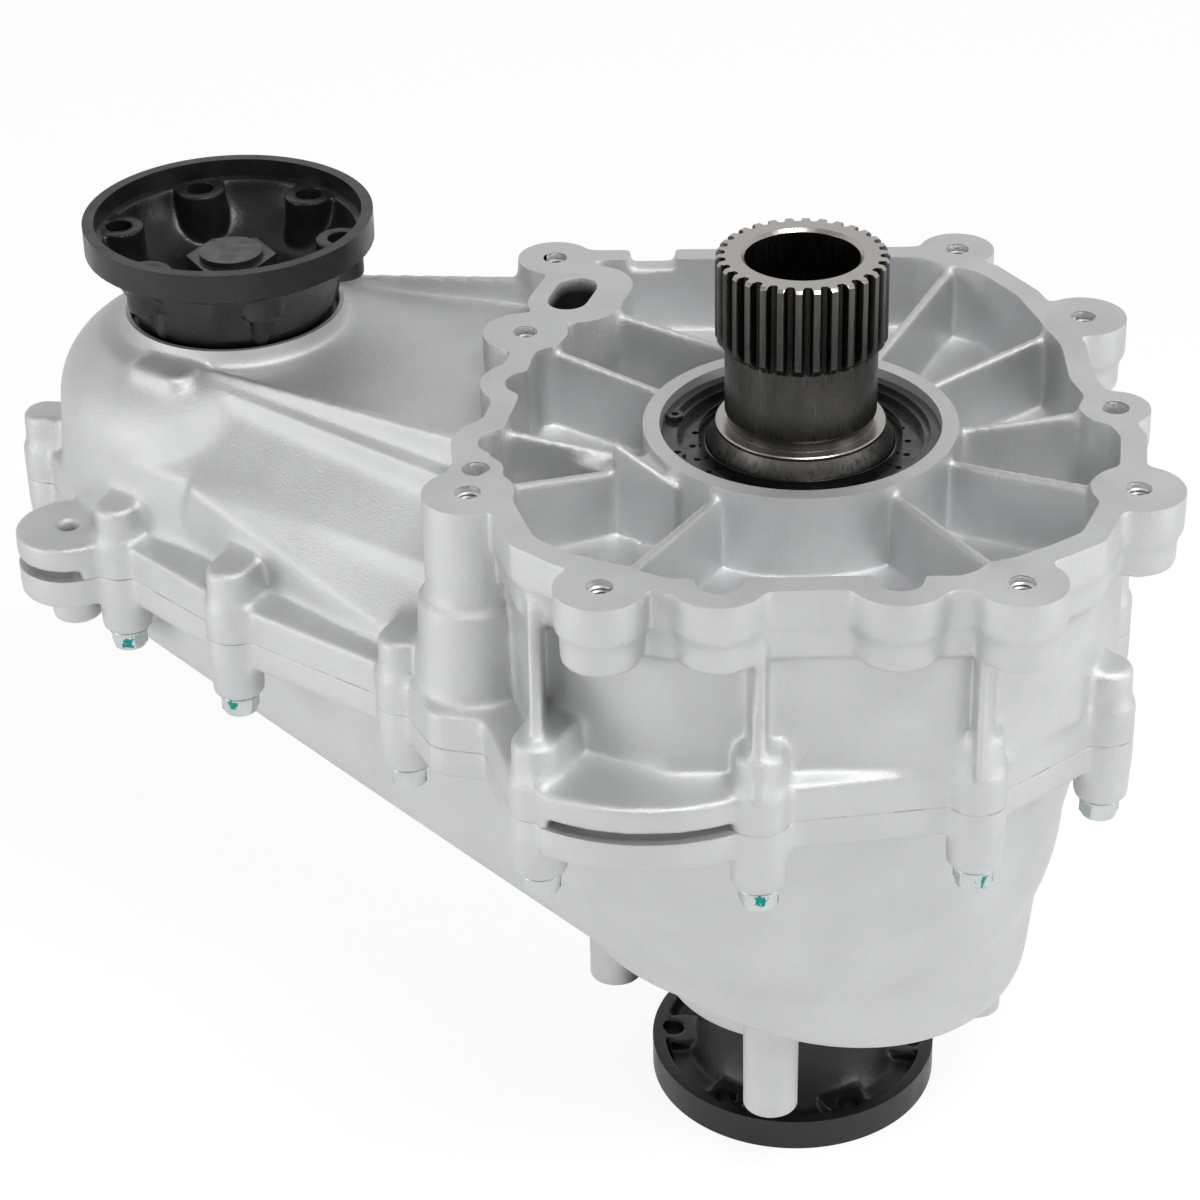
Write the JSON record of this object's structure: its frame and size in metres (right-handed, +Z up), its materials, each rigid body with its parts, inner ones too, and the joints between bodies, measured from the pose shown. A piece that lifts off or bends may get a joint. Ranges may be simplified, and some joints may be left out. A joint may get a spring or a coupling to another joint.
{
  "type": "transfer case",
  "caption": "All-wheel-drive transfer case: two-part cast housing with a splined input shaft, cup-shaped front output flange, chain drive and rear output flange.",
  "frame": {"origin": "centre of the rear output flange's bolting face", "axes": "+Z up the main shaft towards the gearbox face, +X to the side away from the front output, +Y completes the right-handed frame"},
  "size_m": [0.4217, 0.3417, 0.3497],
  "materials": {
    "cast_alloy": "cast, fine grain",
    "black_cast": "black coated casting",
    "zinc_steel": "zinc plated",
    "dark_steel": "hardened, oiled",
    "gear_steel": "ground",
    "bearing_steel": "polished",
    "black_plate": "matt",
    "seal_rubber": "matt"
  },
  "bodies": {
    "housing": {"case_bolts": "zinc_steel", "dowel_sleeves": "zinc_steel", "drain_plug": "zinc_steel", "drive_chain": "gear_steel", "fill_plug": "zinc_steel", "front_bearing": "bearing_steel", "front_case": "cast_alloy", "front_output_seal": "seal_rubber", "front_tail_bearing": "bearing_steel", "input_bearing": "bearing_steel", "input_seal": "seal_rubber", "input_snap_ring": "dark_steel", "oil_guide_plate": "black_plate", "rear_bearing": "bearing_steel", "rear_case": "cast_alloy", "rear_output_seal": "seal_rubber"},
    "sun": {"sun_gear": "gear_steel", "drive_sprocket": "gear_steel"},
    "front_output": {"front_output_shaft": "gear_steel", "driven_sprocket": "gear_steel", "front_flange": "black_cast", "front_flange_nut": "zinc_steel", "front_bearing_inner": "bearing_steel", "front_tail_bearing_inner": "bearing_steel"},
    "input": {"input_shaft": "dark_steel", "planet_carrier": "gear_steel", "carrier_ring": "gear_steel", "planet_pins": "gear_steel", "input_bearing_inner": "bearing_steel"},
    "rear_output": {"annulus_gear": "gear_steel", "rear_output_shaft": "gear_steel", "rear_flange": "black_cast", "rear_flange_nut": "zinc_steel", "rear_dust_shield": "zinc_steel", "rear_bearing_inner": "bearing_steel"},
    "planet_1": {"planet_gear_1": "gear_steel"},
    "planet_2": {"planet_gear_2": "gear_steel"},
    "planet_3": {"planet_gear_3": "gear_steel"}
  },
  "joints": [
    {"name": "front_drive_spin", "type": "hinge", "parent": "housing", "child": "sun", "pos_m": [0, 0, 0.207], "axis": [0, 0, 1], "continuous": true},
    {"name": "front_output_spin", "type": "hinge", "parent": "housing", "child": "front_output", "pos_m": [-0.20781, 0.10887, 0.25], "axis": [0, 0, 1], "continuous": true},
    {"name": "input_spin", "type": "hinge", "parent": "sun", "child": "input", "pos_m": [0, 0, 0.25], "axis": [0, 0, 1], "continuous": true},
    {"name": "rear_output_spin", "type": "hinge", "parent": "sun", "child": "rear_output", "pos_m": [0, 0, 0.075], "axis": [0, 0, 1], "continuous": true},
    {"name": "planet_1_spin", "type": "hinge", "parent": "input", "child": "planet_1", "pos_m": [0.05625, 0, 0.158], "axis": [0, 0, 1], "continuous": true},
    {"name": "planet_2_spin", "type": "hinge", "parent": "input", "child": "planet_2", "pos_m": [-0.02813, 0.04871, 0.158], "axis": [0, 0, 1], "continuous": true},
    {"name": "planet_3_spin", "type": "hinge", "parent": "input", "child": "planet_3", "pos_m": [-0.02813, -0.04871, 0.158], "axis": [0, 0, 1], "continuous": true}
  ],
  "couplings": [
    {"joint": "front_output_spin", "follows": "front_drive_spin", "ratio": 1},
    {"joint": "rear_output_spin", "follows": "input_spin", "ratio": 1.5},
    {"joint": "planet_1_spin", "follows": "input_spin", "ratio": 2},
    {"joint": "planet_2_spin", "follows": "input_spin", "ratio": 2},
    {"joint": "planet_3_spin", "follows": "input_spin", "ratio": 2}
  ]
}
